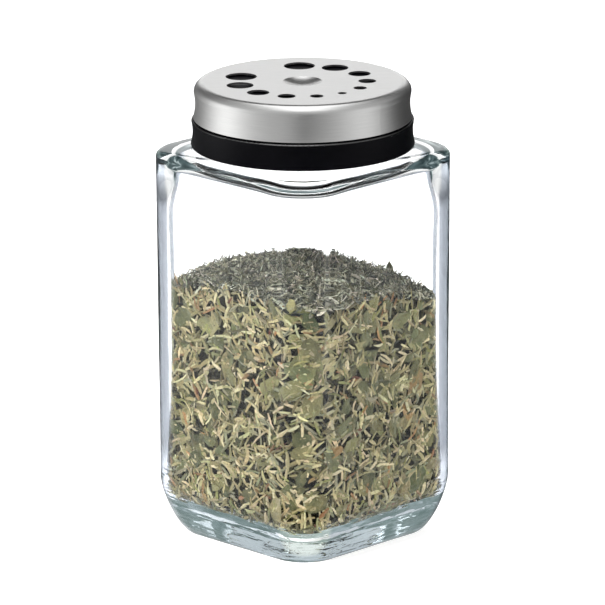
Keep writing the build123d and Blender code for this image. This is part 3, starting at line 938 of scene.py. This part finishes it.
def floor():
    sheet = Sheet("floor_look")
    place = sheet.place()
    reflected = studio(sheet, place, FLOOR_STOPS)[0]
    path = sheet.node("ShaderNodeLightPath")
    matte = sheet.node("ShaderNodeBsdfDiffuse")
    grain = sheet.noise(place, 30.0, 2.0)
    sheet.join(sheet.ramp(grain, [(0.3, 0.80), (0.7, 0.82)]), matte.inputs["Color"])
    glow = sheet.node("ShaderNodeEmission")
    glow.inputs["Color"].default_value = (1, 1, 1, 1)
    glow.inputs["Strength"].default_value = 0.6
    shown = sheet.node("ShaderNodeAddShader")
    sheet.join(matte.outputs[0], shown.inputs[0])
    sheet.join(glow.outputs[0], shown.inputs[1])
    seen = sheet.node("ShaderNodeMixShader")
    direct = sheet.math("MAXIMUM", path.outputs["Is Camera Ray"], path.outputs["Is Transmission Ray"])
    sheet.join(direct, seen.inputs[0])
    sheet.join(matte.outputs[0], seen.inputs[1])
    sheet.join(shown.outputs[0], seen.inputs[2])
    mirror = sheet.node("ShaderNodeEmission")
    sheet.join(reflected, mirror.inputs["Color"])
    mirror.inputs["Strength"].default_value = 2.0
    final = sheet.node("ShaderNodeMixShader")
    sheet.join(mirrored(sheet, path), final.inputs[0])
    sheet.join(seen.outputs[0], final.inputs[1])
    sheet.join(mirror.outputs[0], final.inputs[2])
    reach = 2600.0
    corners = [(-reach, -reach, 0), (reach, -reach, 0), (reach, reach, 0), (-reach, reach, 0)]
    piece = new_object("studio_floor", corners, [(0, 1, 2, 3)])
    piece.data.materials.append(sheet.output(final.outputs[0]))
    piece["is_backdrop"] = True


def world():
    made = bpy.data.worlds.new("studio")
    made.use_nodes = True
    sheet = Sheet.__new__(Sheet)
    sheet.tree = made.node_tree
    sheet.tree.nodes.clear()
    way = sheet.node("ShaderNodeTexCoord").outputs["Generated"]
    around, across, along, height = studio(sheet, way, WALL_STOPS)
    # Higher up it is dark behind the jar and grey in front, with one bright panel overhead.
    ahead = sheet.math("ADD", sheet.math("MULTIPLY", along, 0.3535), 0.5)
    upper = sheet.ramp(ahead, [(0.0, 0.05), (0.2, 0.05), (0.32, 0.2), (0.6, 0.3), (1.0, 0.3)])
    dark = sheet.ramp(height, [(0.31, 0.0), (0.4, 1.0)])
    reflected = sheet.mix(dark, around, upper)
    aside = sheet.math("ABSOLUTE", sheet.math("MULTIPLY", across, 0.7071))
    aside = sheet.ramp(aside, [(0.22, 1.0), (0.34, 0.0)])
    overhead = sheet.ramp(ahead, [(0.2, 0.0), (0.24, 1.0), (0.76, 1.0), (0.86, 0.0)])
    panel = sheet.math("MULTIPLY", sheet.math("MULTIPLY", aside, overhead), dark)
    reflected = sheet.mix(panel, reflected, (1.0, 1.0, 1.0))
    reflected = sheet.mix(1.0, reflected, (2.0, 2.0, 2.0), "MULTIPLY")
    path = sheet.node("ShaderNodeLightPath")
    colour = sheet.mix(mirrored(sheet, path), (0.3, 0.305, 0.32), reflected)
    direct = sheet.math("MAXIMUM", path.outputs["Is Camera Ray"], path.outputs["Is Transmission Ray"])
    colour = sheet.mix(direct, colour, (1.0, 1.0, 1.0))
    back = sheet.node("ShaderNodeBackground")
    sheet.join(colour, back.inputs["Color"])
    out = sheet.node("ShaderNodeOutputWorld")
    sheet.join(back.outputs[0], out.inputs["Surface"])
    bpy.context.scene.world = made


def lamp(name, turn, tilt, distance, size, power, colour=(1, 1, 1)):
    """A soft square lamp at this turn to the camera's right and tilt above the floor."""
    turn = CAMERA_TURN + math.radians(turn)
    tilt = math.radians(tilt)
    way = Vector((math.sin(turn) * math.cos(tilt), -math.cos(turn) * math.cos(tilt), math.sin(tilt)))
    made = bpy.data.lights.new(name, "AREA")
    made.shape = "RECTANGLE"
    made.size, made.size_y = size[0] * MM, size[1] * MM
    made.energy = power
    made.color = colour
    holder = bpy.data.objects.new(name, made)
    holder.location = way * distance * MM + Vector((0, 0, 50 * MM))
    holder.rotation_mode = "QUATERNION"
    holder.rotation_quaternion = way.to_track_quat("Z", "Y")
    holder.visible_glossy = False
    holder.visible_transmission = False
    bpy.context.collection.objects.link(holder)
    return holder


def camera():
    back = Vector(
        (
            math.sin(CAMERA_TURN) * math.cos(CAMERA_TILT),
            -math.cos(CAMERA_TURN) * math.cos(CAMERA_TILT),
            math.sin(CAMERA_TILT),
        )
    )
    right = Vector((math.cos(CAMERA_TURN), math.sin(CAMERA_TURN), 0))
    up = back.cross(right)
    turned_right = right * math.cos(CAMERA_ROLL) + up * math.sin(CAMERA_ROLL)
    turned_up = up * math.cos(CAMERA_ROLL) - right * math.sin(CAMERA_ROLL)
    made = bpy.data.cameras.new("camera")
    made.lens = CAMERA_LENS
    made.sensor_width = SENSOR
    made.clip_start, made.clip_end = 0.05, 20.0
    holder = bpy.data.objects.new("camera", made)
    aim = right * CAMERA_AIM[0] * MM + Vector((0, 0, CAMERA_AIM[1] * MM))
    axes = Matrix((turned_right, turned_up, back)).transposed().to_4x4()
    holder.matrix_world = Matrix.Translation(aim + back * CAMERA_DISTANCE * MM) @ axes
    bpy.context.collection.objects.link(holder)
    bpy.context.scene.camera = holder


# The scene

camera()
world()
floor()
lamp("lamp_left", -55, 48, 900, (260, 260), 9.0)
lamp("lamp_right", 60, 35, 900, (400, 400), 4.0)
lamp("lamp_top", 180, 65, 900, (500, 400), 5.0)

glass = jar_glass()
glass.data.materials.append(glass_material())
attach(glass, "jar")
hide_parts("glass_jar")

# Colours and how often each comes
PRESSED = (
    [
        (204, 190, 152), (178, 164, 122), (150, 138, 98), (140, 136, 108), (106, 98, 68), (138, 134, 84),
        (140, 108, 74), (170, 124, 82), (98, 54, 44),
    ],
    [22, 26, 22, 14, 12, 9, 3, 1.2, 0.7],
)
# Darker colours for the flakes and crumbs further in from the glass: painted shade between the flakes.
DEEP_SHADED = (
    [(70, 66, 44), (48, 46, 30), (90, 84, 56), (28, 27, 19), (112, 104, 72)],
    [30, 28, 16, 20, 5],
)
LEAFY = (
    [(98, 98, 66), (120, 116, 78), (140, 132, 94), (76, 78, 50), (150, 116, 76)],
    [30, 24, 14, 22, 2],
)
GREY_TOP = (
    [(112, 111, 98), (152, 148, 130), (70, 72, 60), (190, 184, 164), (38, 40, 34), (226, 220, 204)],
    [24, 20, 22, 13, 22, 6],
)
# Ranges of length, width and thickness
NEEDLE = ((2.0, 4.8), (0.5, 0.9), (0.35, 0.6))
STEM = ((4.5, 8.0), (0.35, 0.6), (0.3, 0.5))
LEAF = ((2.5, 8.0), (0.35, 0.8), 0.14)
TOP_NEEDLE = ((2.0, 4.6), (0.4, 0.8), (0.3, 0.5))
FLUFF = ((1.2, 3.2), (0.14, 0.28), (0.14, 0.24))
TOP_LEAF = ((1.8, 4.6), (0.4, 0.9), 0.14)

# Name, where, how many, between which depths, shape, its sizes, colours, tilt
FLAKES = [
    ("herb_needles", wall_places, 4700, (0.3, 0.9), needle_shapes, NEEDLE, PRESSED, 0.14),
    ("herb_needles_behind", wall_places, 3600, (1.0, 2.2), needle_shapes, NEEDLE, DEEP_SHADED, 0.35),
    ("herb_stems", wall_places, 260, (0.3, 0.9), needle_shapes, STEM, PRESSED, 0.08),
    ("herb_leaves", wall_places, 480, (0.25, 1.1), leaf_shapes, LEAF, LEAFY, 0.22),
    ("herb_crumbs", wall_places, 3600, (0.5, 1.6), crumb_shapes, ((0.4, 1.1),), DEEP_SHADED, 0.5),
    ("herb_needles_below", floor_places, 900, (0.2, 1.2), needle_shapes, NEEDLE, PRESSED, 0.14),
    ("herb_top_needles", top_places, 1500, (-0.5, 0.8), needle_shapes, TOP_NEEDLE, GREY_TOP, 0.35),
    ("herb_top_fluff", top_places, 3600, (-0.9, 0.5), needle_shapes, FLUFF, GREY_TOP, 0.7),
    ("herb_top_leaves", top_places, 600, (-0.1, 0.8), leaf_shapes, TOP_LEAF, GREY_TOP, 0.2),
    ("herb_top_crumbs", top_places, 3200, (-0.5, 0.5), crumb_shapes, ((0.3, 0.9),), GREY_TOP, 0.5),
]

rng = np.random.default_rng(11)
needles = herb_material("herb_needle_look", False)
leaves = herb_material("herb_leaf_look", True)
herbs = []
for name, where, count, depths, shapes, sizes, palette, tilt in FLAKES:
    spots = where(rng, count, *depths)
    piece = scatter(name, rng, spots, shapes(rng, len(spots[0]), *sizes), palette, tilt)
    herbs.append((piece, leaves if "leaves" in name else needles))
herbs.append((herb_core(), core_material()))
for piece, material in herbs:
    piece.data.materials.append(material)
    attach(piece, "jar")
    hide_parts("dried_herbs")

looks = {"shaker_cap": steel_material(), "screw_collar": plastic_material(), "seal_ring": rubber_material()}
for name, material in looks.items():
    for holder in frame["nodes"][name].material_slots:
        holder.material = material

scene = bpy.context.scene
scene.view_settings.view_transform = "Standard"
sizes = {"cad": [list(corner) for corner in cad_box], "visual": [list(corner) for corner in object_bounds()]}
